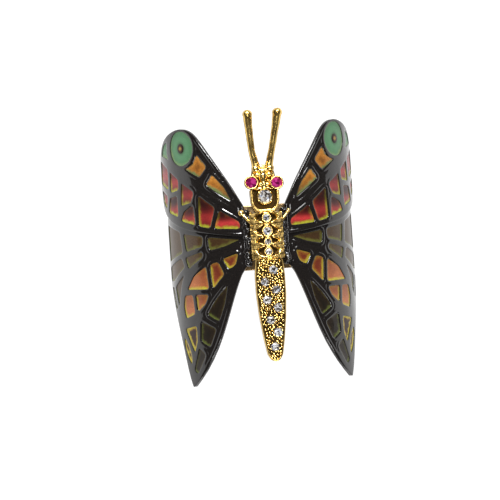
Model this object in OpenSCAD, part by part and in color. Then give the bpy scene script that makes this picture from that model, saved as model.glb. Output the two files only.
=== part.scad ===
// Butterfly brooch: a stone-set body on a bowed frame, four arched cloisonne wings,
// and a hinged pin stem with a turning safety catch behind the bow.
// Millimetres. It lies on its back: +Z is the front and +Y points from the abdomen to the head.

/* [Wings] */
// Outer radius that the forewings are arched to
fore_r = 14.4; // [14.3:0.05:14.6]
// Thickness of each wing's metal frame
frame_t = 0.5; // [0.45:0.05:0.5]
// Recess of the enamel below the front of the frame
enamel_recess = 0.12; // [0.08:0.02:0.14]
// Thickness of the enamel in the cells
enamel_t = 0.3; // [0.2:0.05:0.3]
// Rounding of the corners of the cells
cell_round = 0.45; // [0.3:0.05:0.5]

/* [Body] */
// Half width of the thorax
thorax_half_w = 2.4; // [2.4:0.05:2.6]
// Height of the thorax top above the axis of the wings' arch
thorax_top = 17.4; // [17.3:0.05:17.5]
// Diameter of the ruby eyes
ruby_d = 1.65; // [1.5:0.05:1.7]
// Diameter of the diamond in the head
head_stone_d = 2.1; // [1.9:0.05:2.2]
// Diameter of the diamonds in the abdomen
abdomen_stone_d = 1.3; // [1.1:0.05:1.35]

/* [Pin and catch] */
// Diameter of the pin stem
stem_d = 0.8; // [0.7:0.05:0.8]
// Height of the pin stem above the axis of the wings' arch
pin_z = 2.6; // [2.5:0.05:2.7]
// Diameter of the rivet that the pin stem turns on
rivet_d = 0.6; // [0.5:0.05:0.6]
// Turning clearance, on the radius, of the hinge and of the catch
play = 0.04; // [0.03:0.01:0.05]

/* [Hidden] */
$fn = 48;

gold = [0.83, 0.62, 0.22];
dark_gold = [0.62, 0.44, 0.18];
black_enamel = [0.03, 0.025, 0.03];
diamond = [0.9, 0.92, 0.95];
ruby = [0.72, 0.05, 0.38];

// The brooch is drawn about the axis of the wings' arch and the middle of the thorax, then moved
// so that Y = 0 is halfway along it and the back edges of the wings lie on Z = 0.
y_shift = 1.25;
z_shift = -0.13;

hind_r = fore_r - frame_t;          // the hindwings lie under the forewings
bow_r = hind_r - frame_t;           // the bow lies under the hindwings
bow_t = 0.8;
wing_lean = 48;                     // direction that the cells are cut in, from +Z
root_x = 3.1;                       // where the wings start, from the middle
tall = 60;                          // longer than anything it cuts
all_round = 360;

// Wing outlines and cells are drawn on the wing as if it were rolled out flat:
// [distance round the arch from the middle, height above the thorax].
fore_outline = [
    [1.5, 1.0], [1.5, 2.6], [3.2, 4.9], [4.7, 7.6], [6.6, 10.5], [8.5, 13.2], [10.2, 15.4],
    [11.6, 16.5], [13.3, 16.9], [15.5, 16.6], [18.2, 15.6], [20.6, 13.7], [21.9, 11.2],
    [21.9, 8.4], [20.8, 5.4], [17.6, 3.3], [13.0, 1.8], [9.2, 1.1], [6.0, 0.6], [3.0, 0.3]
];
hind_outline = [
    [1.5, -2.6], [1.5, 0.2], [3.2, 0.9], [7.0, 1.3], [11.0, 2.0], [15.0, 3.2], [18.6, 4.6],
    [20.6, 3.6], [21.2, 0.8], [21.2, -2.2], [21.2, -5.2], [19.7, -8.6], [18.0, -12.2],
    [16.7, -15.4], [15.6, -18.8], [14.6, -21.3], [14.0, -21.5], [11.2, -19.2], [8.8, -16.0],
    [7.0, -12.3], [5.5, -8.6], [4.1, -5.4], [3.0, -4.1]
];

eye_spot = [13.5, 14.0];
eye_spot_r = 2.65;
pupil_r = 0.72;

brown_cells = [
    [[10.3, 13.0], [8.5, 11.0], [10.0, 9.4], [12.9, 10.9], [11.1, 11.5]],
    [[7.8, 9.9], [5.9, 7.8], [4.8, 5.5], [9.0, 8.3], [8.2, 9.1]]
];
red_cells = [
    [[7.0, 4.5], [3.8, 2.5], [3.8, 1.4], [8.0, 1.7]],
    [[10.5, 6.9], [7.6, 4.9], [8.6, 1.8], [10.7, 2.2]],
    [[13.8, 9.0], [11.2, 7.4], [11.9, 5.8], [14.2, 5.4]],
    [[13.6, 4.7], [11.5, 5.5], [11.3, 2.4], [14.5, 3.2]],
    [[16.8, 10.8], [14.5, 9.5], [14.6, 7.8], [17.0, 7.5]],
    [[17.4, 6.9], [15.0, 7.1], [15.1, 3.8], [18.1, 4.6]],
    [[20.7, 12.6], [17.5, 11.2], [17.7, 8.0], [21.1, 9.0]],
    [[21.0, 8.2], [18.1, 7.2], [18.8, 5.2], [20.3, 6.0]]
];
green_crescent = [[17.2, 15.3], [17.5, 13.4], [16.9, 12.5], [20.0, 13.2], [18.9, 14.7]];
olive_cells = [
    [[9.3, 0.6], [3.8, -0.1], [6.3, -1.0], [9.1, -1.5]],
    [[14.4, 1.4], [10.1, 0.7], [10.3, -0.8], [13.9, -1.5]],
    [[14.3, -2.2], [10.4, -1.5], [10.3, -2.3], [13.6, -4.1]],
    [[20.3, 2.9], [15.3, 1.7], [14.8, -1.6], [20.5, -2.8]],
    [[20.5, -3.5], [15.2, -2.2], [14.5, -3.7], [18.6, -5.7], [20.4, -5.7]],
    [[18.2, -6.5], [14.8, -4.7], [15.9, -6.5], [17.2, -9.6]],
    [[20.1, -6.4], [18.9, -6.5], [17.8, -9.8], [18.5, -9.9]]
];
orange_cells = [
    [[7.0, -2.8], [4.3, -2.0], [4.8, -3.8], [6.0, -4.5]],
    [[9.2, -3.5], [7.7, -3.1], [6.7, -5.1], [8.9, -7.2]],
    [[9.9, -3.7], [9.6, -7.2], [14.3, -7.1], [12.5, -5.0]],
    [[12.4, -7.8], [9.7, -7.9], [10.4, -9.3], [12.1, -10.5]],
    [[15.1, -7.8], [13.0, -7.8], [12.7, -10.8], [15.1, -11.4], [15.6, -9.6]]
];
dark_cells = [
    [[6.3, -6.6], [7.0, -9.5], [8.2, -12.1], [10.3, -10.9], [8.6, -8.8]],
    [[11.5, -11.8], [8.7, -13.1], [10.1, -15.8], [11.9, -14.9]],
    [[12.3, -15.7], [11.0, -16.9], [13.0, -19.8], [13.9, -19.1]]
];
yellow_cells = [
    [[15.6, -12.8], [12.6, -12.4], [12.6, -14.8], [13.4, -16.6], [14.3, -15.0]],
    [[16.0, -14.0], [14.8, -15.4], [14.2, -17.0], [14.3, -18.4], [15.3, -17.2], [16.2, -15.4]]
];

abdomen_outline = [
    [2.0, -3.3], [2.2, -5.6], [2.2, -8.4], [1.95, -11.8], [1.5, -15.2], [1.1, -17.4],
    [0.6, -18.2], [0, -18.4]
];
abdomen_stones = [
    [0.5, -4.9], [-0.8, -6.6], [0.75, -7.9], [-0.7, -9.3],
    [0.8, -10.5], [-0.35, -12.3], [0.6, -14.1], [0, -16.2]
];
// Each thorax stone is [height above the thorax middle, diameter].
thorax_stones = [[2.8, 1.1], [0.85, 1.3], [-0.75, 0.95], [-2.2, 1.05]];
bezel_wall = 0.15;
thorax_end = -3.3;
thorax_start = 3.75;
stone_z = thorax_top - 0.02;        // height of the girdles of the thorax stones

abdomen_top = 17.0;
abdomen_crown_r = 4.5;
abdomen_base = 14.7;

head_stone_y = 5.9;
head_stone_z = 16.95;
head_base = 14.8;
head_top = 17.1;
collar_floor = 15.6;
collar_top = 17.4;
eye_x = 1.88;
eye_left_y = 8.1;
eye_right_y = 7.88;
eye_rim = 17.4;

// Antenna centrelines: [x, y, z, half width]. The two were bent by hand and differ a little.
antenna_left_line = [
    [-0.95, 10.2, 16.1, 0.42], [-1.15, 11.4, 16.2, 0.36], [-1.45, 13.0, 16.4, 0.33],
    [-1.6, 15.0, 16.6, 0.36], [-1.7, 17.0, 16.75, 0.42], [-1.75, 18.6, 16.85, 0.5],
    [-1.76, 19.0, 16.87, 0.42], [-1.77, 19.2, 16.88, 0.2]
];
antenna_right_line = [
    [0.95, 10.2, 16.1, 0.42], [1.15, 11.4, 16.2, 0.36], [1.55, 13.0, 16.4, 0.33],
    [1.95, 15.0, 16.6, 0.36], [2.35, 17.0, 16.75, 0.42], [2.65, 18.6, 16.85, 0.5],
    [2.72, 19.0, 16.87, 0.42], [2.75, 19.2, 16.88, 0.2]
];

// Pin, hinge and catch. The pin lies along X at Y = 0, below the middle of the bow.
hinge_x = -11;
knuckle_r = 0.8;
knuckle_half = 0.7;
tongue_r = 0.64;
tongue_x = -9.6;
ear_t = 0.5;
ear_gap = 0.05;
taper_x = 9.4;
tip_x = 12.4;
tip_r = 0.12;
housing_x0 = 10.25;
housing_x1 = 11.6;
housing_r = 1.6;
roller_r = 1.05;
roller_bore = 0.62;
flange_t = 0.35;
flange_r = 1.45;
mouth = 100;                        // angle of the opening in the catch
tab_angle = 20;
tab_reach = 2.6;
catch_end = housing_x1 + 0.05 + flange_t;

// ---- Flat pattern helpers

function unit(v) = v / norm(v);

// Cuts each corner with a short three-point curve.
function soften(p, cut) = [
    for (i = [0 : len(p) - 1])
        let (
            here = p[i],
            before = p[(i + len(p) - 1) % len(p)],
            after = p[(i + 1) % len(p)],
            c1 = min(cut, 0.4 * norm(before - here)),
            c2 = min(cut, 0.4 * norm(after - here)),
            a = here + c1 * unit(before - here),
            b = here + c2 * unit(after - here)
        )
        for (q = [a, 0.25 * a + 0.5 * here + 0.25 * b, b]) q
];

// A closed Catmull-Rom curve through the points, with n pieces between each two.
function smooth_loop(p, n) = [
    for (i = [0 : len(p) - 1], k = [0 : n - 1])
        let (
            a = p[(i + len(p) - 1) % len(p)], b = p[i],
            c = p[(i + 1) % len(p)], d = p[(i + 2) % len(p)], t = k / n
        )
        0.5 * (2 * b + (c - a) * t + (2 * a - 5 * b + 4 * c - d) * t * t
            + (3 * b - a - 3 * c + d) * t * t * t)
];

function ring(centre, r, n) = [
    for (i = [0 : n - 1]) centre + r * [cos(i * all_round / n), sin(i * all_round / n)]
];

// From the rolled-out wing to the plane that faces the middle of the wing.
function facing(p, r) = [
    for (q = p) [r * sin(q[0] / r * 180 / PI - wing_lean), q[1]]
];

// ---- Wing solids, all drawn for the right-hand side

module along_y(r, h) {
    rotate([90, 0, 0]) cylinder(r = r, h = h, center = true);
}

module arch(r_in, r_out) {
    difference() {
        along_y(r_out, tall);
        along_y(r_in, tall + 2);
    }
}

module facing_slab() {
    rotate([0, wing_lean, 0]) translate([0, 0, 6]) linear_extrude(height = 10) children();
}

module clear_of_root() {
    difference() {
        children();
        translate([root_x - tall, -tall / 2, -1]) cube([tall, tall, tall]);
    }
}

module wing_frame(outline, cells, r) {
    clear_of_root() intersection() {
        arch(r - frame_t, r);
        facing_slab() difference() {
            polygon(facing(smooth_loop(outline, 2), r));
            for (cell = cells) polygon(facing(cell, r));
        }
    }
}

module enamel(cells, r) {
    intersection() {
        arch(r - enamel_recess - enamel_t, r - enamel_recess);
        facing_slab() for (cell = cells) polygon(facing(cell, r));
    }
}

function rounded(cells) = [for (cell = cells) soften(cell, cell_round)];

eye_cell = ring(eye_spot, eye_spot_r, 28);
pupil_cell = ring(eye_spot, pupil_r, 16);
fore_cells = concat(
    rounded(brown_cells), rounded(red_cells), [eye_cell], rounded([green_crescent]));
hind_cells = concat(
    rounded(olive_cells), rounded(orange_cells), rounded(dark_cells), rounded(yellow_cells));

module forewing_frame() { color(black_enamel) wing_frame(fore_outline, fore_cells, fore_r); }
module forewing_brown_enamel() { color([0.45, 0.30, 0.14]) enamel(rounded(brown_cells), fore_r); }
module forewing_red_enamel() { color([0.70, 0.16, 0.12]) enamel(rounded(red_cells), fore_r); }
module forewing_pupil() { color([0.25, 0.18, 0.14]) enamel([pupil_cell], fore_r); }
module forewing_green_enamel() {
    color([0.40, 0.66, 0.52]) {
        enamel(rounded([green_crescent]), fore_r);
        intersection() {
            arch(fore_r - enamel_recess - enamel_t, fore_r - enamel_recess);
            facing_slab() difference() {
                polygon(facing(eye_cell, fore_r));
                polygon(facing(pupil_cell, fore_r));
            }
        }
    }
}

module hindwing_frame() { color(black_enamel) wing_frame(hind_outline, hind_cells, hind_r); }
module hindwing_olive_enamel() { color([0.33, 0.28, 0.16]) enamel(rounded(olive_cells), hind_r); }
module hindwing_orange_enamel() { color([0.76, 0.34, 0.16]) enamel(rounded(orange_cells), hind_r); }
module hindwing_dark_enamel() { color([0.16, 0.12, 0.06]) enamel(rounded(dark_cells), hind_r); }
module hindwing_yellow_enamel() { color([0.68, 0.58, 0.12]) enamel(rounded(yellow_cells), hind_r); }

// The black boss that holds both wings of a side to the bow, beside the thorax.
module wing_root() {
    color(black_enamel) intersection() {
        arch(bow_r, fore_r);
        translate([thorax_half_w, -4.2, 0]) cube([root_x - thorax_half_w, 8.4, tall]);
    }
}

// A gold wire with a ball end that ties the wing to the side of the thorax.
module wing_link() {
    ball = [3.5, 3.75];
    ball_r = 0.42;
    wire_r = 0.2;
    foot = [2.2, 2.1];
    height = sqrt(pow(fore_r + ball_r, 2) - pow(ball[0], 2));
    run = norm(ball - foot);
    heading = atan2(ball[1] - foot[1], ball[0] - foot[0]);
    color(gold) difference() {
        union() {
            translate([ball[0], ball[1], height]) sphere(r = ball_r);
            translate([foot[0], foot[1], height + 0.1]) rotate([0, 90, heading])
                cylinder(r = wire_r, h = run);
        }
        translate([thorax_half_w - tall, -tall / 2, 0]) cube([tall, tall, tall]);
    }
}

// ---- Body

// The bow: a curved band behind the thorax that narrows towards the hinge and the catch.
module bow_frame() {
    half_top = 4.8;
    half_end = 1.3;
    spread = 68;
    color(dark_gold) intersection() {
        arch(bow_r - bow_t, bow_r);
        rotate([90, 0, 0]) linear_extrude(height = tall, center = true) polygon([
            [0, 0], tall * [-sin(spread), cos(spread)], [0, tall], tall * [sin(spread), cos(spread)]
        ]);
        linear_extrude(height = tall) polygon([
            [-bow_r, -half_end], [-9, -1.9], [-4.5, -half_top], [4.5, -half_top], [9, -1.9],
            [bow_r, -half_end], [bow_r, half_end], [9, 1.9], [4.5, half_top], [-4.5, half_top],
            [-9, 1.9], [-bow_r, half_end]
        ]);
    }
}

// A round stone: flat table, sloping crown, thin girdle and a pointed pavilion.
module stone(d) {
    rotate_extrude() polygon([
        [0, -0.43 * d], [0.5 * d, -0.02 * d], [0.5 * d, 0.02 * d], [0.29 * d, 0.16 * d], [0, 0.16 * d]
    ]);
}

module tube(r_in, r_out, h) {
    difference() {
        cylinder(r = r_out, h = h);
        translate([0, 0, -1]) cylinder(r = r_in, h = h + 2);
    }
}

function setting_r(d) = d / 2 + bezel_wall;

// The thorax has four ribs; a pair of slots beside each stone shows the dark inside.
module thorax() {
    rib_r = 3.0;
    groove_r = 2.85;
    seat_depth = 0.85;
    color(gold) difference() {
        intersection() {
            union() {
                translate([0, (thorax_start + thorax_end) / 2, thorax_top - rib_r])
                    along_y(groove_r, thorax_start - thorax_end);
                for (s = thorax_stones)
                    translate([0, s[0], thorax_top - rib_r]) along_y(rib_r, s[1]);
            }
            translate([-thorax_half_w, -tall / 2, 0]) cube([2 * thorax_half_w, tall, tall]);
        }
        along_y(bow_r, tall);
        for (s = thorax_stones) translate([0, s[0], stone_z - seat_depth])
            cylinder(r = setting_r(s[1]), h = 2);
        for (s = thorax_stones, side = [-1, 1])
            translate([side * 1.55, s[0], thorax_top - 1.4]) linear_extrude(height = 3)
                polygon([[-0.4, 0], [0, 0.28], [0.4, 0.1], [0.4, -0.1], [0, -0.28]]);
    }
}

module thorax_settings() {
    color(gold) for (s = thorax_stones) translate([0, s[0], stone_z - 0.85])
        tube(s[1] / 2, setting_r(s[1]), 0.97);
}

module thorax_diamonds() {
    color(diamond) for (s = thorax_stones) translate([0, s[0], stone_z]) stone(s[1]);
}

module mirrored_outline(half) {
    polygon(concat(half, [for (i = [len(half) - 1 : -1 : 0]) [-half[i][0], half[i][1]]]));
}

module abdomen() {
    seat_depth = 0.7;
    color(gold) difference() {
        intersection() {
            translate([0, 0, abdomen_base]) linear_extrude(height = 4)
                mirrored_outline(abdomen_outline);
            translate([0, -10, abdomen_top - abdomen_crown_r]) along_y(abdomen_crown_r, 30);
        }
        for (p = abdomen_stones) translate([p[0], p[1], abdomen_top - seat_depth])
            cylinder(d = abdomen_stone_d, h = 3);
    }
}

module abdomen_diamonds() {
    color(diamond) for (p = abdomen_stones)
        translate([p[0], p[1], abdomen_top - 0.12]) stone(abdomen_stone_d);
}

// The room that the two eyes take up.
module eye_wells() {
    for (at = [[-eye_x, eye_left_y], [eye_x, eye_right_y]])
        translate([at[0], at[1], 0]) cylinder(r = ruby_d / 2 + bezel_wall, h = tall);
}

// The brow between the eyes, which carries the antennae.
module head() {
    color(gold) difference() {
        translate([0, 0, head_base]) linear_extrude(height = head_top - head_base) polygon([
            [2.2, 7.0], [2.4, 7.4], [1.9, 9.0], [1.65, 9.8], [1.6, 10.3], [1.0, 10.6],
            [-1.0, 10.6], [-1.6, 10.3], [-1.65, 9.8], [-1.9, 9.0], [-2.4, 7.4], [-2.2, 7.0]
        ]);
        eye_wells();
        antenna(antenna_left_line);
        antenna(antenna_right_line);
    }
}

// A U-shaped rim with a floor: the hollow that the large diamond stands in.
module head_collar() {
    outer = [[2.15, 7.0], [2.1, 5.2], [1.85, 4.4], [1.35, 3.75]];
    inner = [[1.72, 7.1], [1.68, 5.3], [1.48, 4.6], [1.1, 4.15]];
    color(gold) difference() {
        translate([0, 0, head_base]) linear_extrude(height = collar_top - head_base) mirrored_outline(outer);
        translate([0, 0, collar_floor]) linear_extrude(height = 3) mirrored_outline(inner);
        eye_wells();
    }
}

module head_setting() {
    color(gold) translate([0, head_stone_y, collar_floor])
        tube(head_stone_d / 2 - 0.1, head_stone_d / 2, head_stone_z - 0.12 - collar_floor);
}

module head_diamond() {
    color(diamond) translate([0, head_stone_y, head_stone_z]) stone(head_stone_d);
}

module eye_bezel(y) {
    color(gold) translate([eye_x, y, head_base])
        tube(ruby_d / 2, ruby_d / 2 + bezel_wall, eye_rim - head_base);
}

module eye_ruby(y) {
    color(ruby) translate([eye_x, y, eye_rim - 0.15]) stone(ruby_d);
}

// A tube of oval section, deeper than it is wide, swept along a list of [x, y, z, half width].
module antenna(line) {
    sides = 12;
    deep = 1.25;
    last = len(line) - 1;
    points = [
        for (p = line, i = [0 : sides - 1])
            [p[0] + p[3] * cos(i * all_round / sides), p[1], p[2] + deep * p[3] * sin(i * all_round / sides)]
    ];
    walls = [
        for (j = [0 : last - 1], i = [0 : sides - 1])
            let (a = j * sides + i, b = j * sides + (i + 1) % sides)
            each [[a, b, b + sides], [a, b + sides, a + sides]]
    ];
    ends = [
        [for (i = [sides - 1 : -1 : 0]) i],
        [for (i = [0 : sides - 1]) last * sides + i]
    ];
    color(gold) polyhedron(points, concat(walls, ends));
}

// ---- Pin, hinge and catch

module at_hinge() {
    translate([hinge_x, 0, pin_z]) children();
}

// Two ears under the end of the bow, with a block across them that the pin can't reach.
module joint_bracket() {
    half = knuckle_half + ear_gap;
    color(gold) difference() {
        intersection() {
            union() {
                for (side = [-1, 1]) translate([0, side * (half + ear_t / 2), 0]) {
                    at_hinge() along_y(1, ear_t);
                    translate([hinge_x - 1, -ear_t / 2, pin_z]) cube([2, ear_t, 6]);
                }
                translate([hinge_x - 1, -half - ear_t, pin_z + 1.1])
                    cube([2, 2 * (half + ear_t), 5]);
            }
            along_y(bow_r - bow_t, 6);
        }
        at_hinge() along_y(rivet_d / 2, 6);
    }
}

module joint_rivet() {
    reach = knuckle_half + ear_gap + ear_t;
    head_t = 0.2;
    color(gold) at_hinge() {
        along_y(rivet_d / 2, 2 * (reach + head_t));
        for (side = [-1, 1]) translate([0, side * (reach + head_t / 2), 0]) along_y(0.5, head_t);
    }
}

module pin_stem() {
    color(gold) difference() {
        union() {
            at_hinge() along_y(knuckle_r, 2 * knuckle_half);
            at_hinge() rotate([0, 90, 0])
                cylinder(r1 = tongue_r, r2 = stem_d / 2, h = tongue_x - hinge_x);
            at_hinge() rotate([0, 90, 0]) cylinder(d = stem_d, h = taper_x - hinge_x);
            translate([taper_x, 0, pin_z]) rotate([0, 90, 0])
                cylinder(r1 = stem_d / 2, r2 = tip_r, h = tip_x - taper_x);
        }
        at_hinge() along_y(rivet_d / 2 + play, 4);
    }
}

// Runs along X from x0 for a length, as a ring with a mouth that faces the back.
module open_ring(x0, length, r_in, r_out) {
    spread = 4;
    translate([x0, 0, pin_z]) rotate([0, 90, 0]) difference() {
        tube(r_in, r_out, length);
        translate([0, 0, -1]) linear_extrude(height = length + 2) polygon([
            [0, 0], spread * [cos(mouth / 2), sin(mouth / 2)], [spread, 0],
            spread * [cos(mouth / 2), -sin(mouth / 2)]
        ]);
    }
}

module catch_housing() {
    post_half = 0.6;
    color(gold) {
        open_ring(housing_x0, housing_x1 - housing_x0, roller_r + play, housing_r);
        difference() {
            intersection() {
                translate([housing_x0, -post_half, pin_z]) cube([housing_x1 - housing_x0, 2 * post_half, 6]);
                along_y(bow_r - bow_t, 6);
            }
            translate([0, 0, pin_z]) rotate([0, 90, 0]) cylinder(r = housing_r, h = tall);
        }
    }
}

module catch_roller() {
    start = housing_x0 - 0.05 - flange_t;
    color(gold) {
        open_ring(start, catch_end - start, roller_bore, roller_r);
        open_ring(start, flange_t, roller_r, flange_r);
        open_ring(catch_end - flange_t, flange_t, roller_r, flange_r - 0.1);
        translate([start, 0, pin_z]) rotate([tab_angle, 0, 0])
            translate([0, roller_r, -0.3]) cube([flange_t, tab_reach - roller_r, 0.6]);
    }
}

// ---- The brooch

module placed() { translate([0, y_shift, z_shift]) children(); }
module right() { placed() children(); }
module left() { placed() mirror([1, 0, 0]) children(); }

placed() bow_frame();
placed() thorax();
placed() thorax_settings();
placed() thorax_diamonds();
placed() head();
placed() head_collar();
placed() head_setting();
placed() head_diamond();
placed() abdomen();
placed() abdomen_diamonds();
left() eye_bezel(eye_left_y);  // eye_bezel_left
right() eye_bezel(eye_right_y);  // eye_bezel_right
left() eye_ruby(eye_left_y);  // ruby_left
right() eye_ruby(eye_right_y);  // ruby_right
placed() antenna(antenna_left_line);  // antenna_left
placed() antenna(antenna_right_line);  // antenna_right
left() wing_root();  // wing_root_left
right() wing_root();  // wing_root_right
left() wing_link();  // wing_link_left
right() wing_link();  // wing_link_right
left() forewing_frame();  // forewing_frame_left
right() forewing_frame();  // forewing_frame_right
left() forewing_brown_enamel();  // forewing_brown_enamel_left
right() forewing_brown_enamel();  // forewing_brown_enamel_right
left() forewing_red_enamel();  // forewing_red_enamel_left
right() forewing_red_enamel();  // forewing_red_enamel_right
left() forewing_green_enamel();  // forewing_green_enamel_left
right() forewing_green_enamel();  // forewing_green_enamel_right
left() forewing_pupil();  // forewing_pupil_left
right() forewing_pupil();  // forewing_pupil_right
left() hindwing_frame();  // hindwing_frame_left
right() hindwing_frame();  // hindwing_frame_right
left() hindwing_olive_enamel();  // hindwing_olive_enamel_left
right() hindwing_olive_enamel();  // hindwing_olive_enamel_right
left() hindwing_orange_enamel();  // hindwing_orange_enamel_left
right() hindwing_orange_enamel();  // hindwing_orange_enamel_right
left() hindwing_dark_enamel();  // hindwing_dark_enamel_left
right() hindwing_dark_enamel();  // hindwing_dark_enamel_right
left() hindwing_yellow_enamel();  // hindwing_yellow_enamel_left
right() hindwing_yellow_enamel();  // hindwing_yellow_enamel_right
placed() joint_bracket();
placed() joint_rivet();
placed() pin_stem();
placed() catch_housing();
placed() catch_roller();
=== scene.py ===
import math

import bmesh
import bpy
import numpy as np
from mathutils import Matrix, Vector, geometry, noise


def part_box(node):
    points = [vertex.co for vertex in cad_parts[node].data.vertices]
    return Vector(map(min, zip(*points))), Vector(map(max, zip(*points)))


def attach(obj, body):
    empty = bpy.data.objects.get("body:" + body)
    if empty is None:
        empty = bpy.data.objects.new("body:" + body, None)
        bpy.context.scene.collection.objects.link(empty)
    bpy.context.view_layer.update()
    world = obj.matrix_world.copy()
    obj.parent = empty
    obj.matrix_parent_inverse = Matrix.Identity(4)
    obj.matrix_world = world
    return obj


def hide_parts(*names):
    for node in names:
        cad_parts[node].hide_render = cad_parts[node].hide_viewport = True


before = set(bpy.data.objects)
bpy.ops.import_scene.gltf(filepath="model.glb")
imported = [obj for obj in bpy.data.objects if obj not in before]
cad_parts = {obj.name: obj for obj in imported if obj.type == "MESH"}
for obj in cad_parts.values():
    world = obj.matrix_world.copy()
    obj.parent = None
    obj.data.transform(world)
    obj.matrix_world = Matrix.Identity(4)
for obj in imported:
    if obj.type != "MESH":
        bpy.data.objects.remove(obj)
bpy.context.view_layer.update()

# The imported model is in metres. All modelling below is in millimetres, and new_piece() converts.
MM = 0.001
SIDES = ("left", "right")
SIGN = {"left": -1, "right": 1}

# ---------------------------------------------------------------- frame: sizes read from the CAD

ARCH_Z = -0.13        # height of the axis that the wings and the bow are arched about


def node_points(node):
    """The CAD node's vertices, in millimetres."""
    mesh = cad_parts[node].data
    points = np.zeros(len(mesh.vertices) * 3)
    mesh.vertices.foreach_get("co", points)
    return points.reshape(-1, 3) / MM


def node_box(node):
    low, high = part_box(node)
    return np.array(low) / MM, np.array(high) / MM


def radius_of(points):
    return np.hypot(points[:, 0], points[:, 2] - ARCH_Z)


FORE_R = radius_of(node_points("forewing_frame_right")).max()
HIND_R = radius_of(node_points("hindwing_frame_right")).max()
FORE_PANE_R = radius_of(node_points("forewing_red_enamel_right")).max()
HIND_PANE_R = radius_of(node_points("hindwing_olive_enamel_right")).max()


# ---------------------------------------------------------------- mesh helpers

SHARP = math.radians(50)      # an edge bent by more than this is shaded as a crease


def new_piece(name, verts, faces, material, body, replaces, smooth=True, values=None):
    """A closed mesh from vertices in millimetres, riding on a body and standing for CAD nodes."""
    mesh = bpy.data.meshes.new(name)
    mesh.from_pydata([tuple(v) for v in np.asarray(verts, float) * MM], [], [tuple(f) for f in faces])
    mesh.validate()
    for key, value in (values or {}).items():
        mesh.attributes.new(key, "FLOAT", "POINT").data.foreach_set("value", np.asarray(value, np.float32))
    if smooth:
        mesh.shade_smooth()
        mesh.set_sharp_from_angle(angle=SHARP)
    mesh.materials.append(material)
    piece = bpy.data.objects.new(name, mesh)
    bpy.context.scene.collection.objects.link(piece)
    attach(piece, body)
    if replaces:
        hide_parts(*replaces)


def drafted(verts, faces):
    """The shape as a bmesh, with its normals."""
    made = bmesh.new()
    for v in verts:
        made.verts.new(v)
    made.verts.ensure_lookup_table()
    for f in faces:
        made.faces.new([made.verts[i] for i in f])
    made.normal_update()
    return made


def arrays(made):
    """The vertices and faces of a bmesh, which is freed."""
    made.verts.index_update()
    verts = np.array([tuple(v.co) for v in made.verts])
    faces = [tuple(v.index for v in f.verts) for f in made.faces]
    made.free()
    return verts, faces


def turned_down_shade(verts, faces, start=0.5):
    """Painted shade: how dark the gold is at each vertex, more where the surface turns down from facing up.
    """
    made = drafted(verts, faces)
    up = np.array([v.normal.z for v in made.verts])
    made.free()
    return np.clip((start - up) / 0.6, 0, 0.9)


def joined(parts):
    """One (verts, faces) from several."""
    verts, faces, start = [], [], 0
    for v, f in parts:
        verts.append(np.asarray(v, float))
        faces += [tuple(start + i for i in face) for face in f]
        start += len(v)
    return np.vstack(verts), faces


def lathe(profile, sides):
    """A closed solid of revolution about Z. The profile runs from the bottom axis point to the top one."""
    rings = profile[1:-1]
    verts = [(0, 0, profile[0][1])]
    for r, z in rings:
        verts += [(r * math.cos(a), r * math.sin(a), z) for a in np.arange(sides) * math.tau / sides]
    verts.append((0, 0, profile[-1][1]))
    faces = [(0, 1 + (i + 1) % sides, 1 + i) for i in range(sides)]
    for k in range(len(rings) - 1):
        low, high = 1 + k * sides, 1 + (k + 1) * sides
        faces += [(low + i, low + (i + 1) % sides, high + (i + 1) % sides, high + i) for i in range(sides)]
    last = 1 + (len(rings) - 1) * sides
    faces += [(last + i, last + (i + 1) % sides, len(verts) - 1) for i in range(sides)]
    return np.array(verts), faces


def swept(path, radii, sides=12):
    """A tube along a path, with one radius or a radius at each point."""
    path = np.asarray(path, float)
    tangent = np.gradient(path, axis=0)
    tangent /= np.linalg.norm(tangent, axis=1)[:, None]
    side = np.cross(tangent[0], (0, 0, 1.0))
    if np.linalg.norm(side) < 0.1:
        side = np.array((1.0, 0, 0))
    verts = []
    for k, (p, t) in enumerate(zip(path, tangent)):
        side = side - t * side.dot(t)
        side /= np.linalg.norm(side)
        up = np.cross(side, t)
        r = radii[k] if np.ndim(radii) else radii
        for a in np.arange(sides) * math.tau / sides:
            verts.append(p + r * (math.cos(a) * side + math.sin(a) * up))
    last = len(path) - 1
    faces = [
        (k * sides + i, (k + 1) * sides + i, (k + 1) * sides + (i + 1) % sides, k * sides + (i + 1) % sides)
        for k in range(last) for i in range(sides)
    ]
    faces.append(tuple(range(sides)))
    faces.append(tuple(last * sides + i for i in reversed(range(sides))))
    return np.array(verts), faces


def smooth_path(points, n):
    """A Catmull-Rom curve through the points, with n steps between each two."""
    p = np.asarray(points, float)
    p = np.vstack([2 * p[0] - p[1], p, 2 * p[-1] - p[-2]])
    out = []
    for i in range(1, len(p) - 2):
        a, b, c, d = p[i - 1], p[i], p[i + 1], p[i + 2]
        for t in np.arange(n) / n:
            out.append(0.5 * (2 * b + (c - a) * t + (2 * a - 5 * b + 4 * c - d) * t**2
                              + (3 * b - a - 3 * c + d) * t**3))
    out.append(p[-2])
    return np.array(out)


def distance(points, line, closed=False):
    """The distance from each point to a polyline, in the plane."""
    line = np.asarray(line, float)
    ends = np.roll(line, -1, axis=0) if closed else line[1:]
    starts = line if closed else line[:-1]
    best = np.full(len(points), np.inf)
    for k in range(0, len(starts), 64):
        a, b = starts[k:k + 64], ends[k:k + 64]
        ab = b - a
        ap = points[:, None, :] - a[None]
        t = np.clip((ap * ab).sum(2) / np.maximum((ab * ab).sum(1), 1e-12), 0, 1)
        gap = ap - t[..., None] * ab
        best = np.minimum(best, np.sqrt((gap * gap).sum(2)).min(1))
    return best


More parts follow.
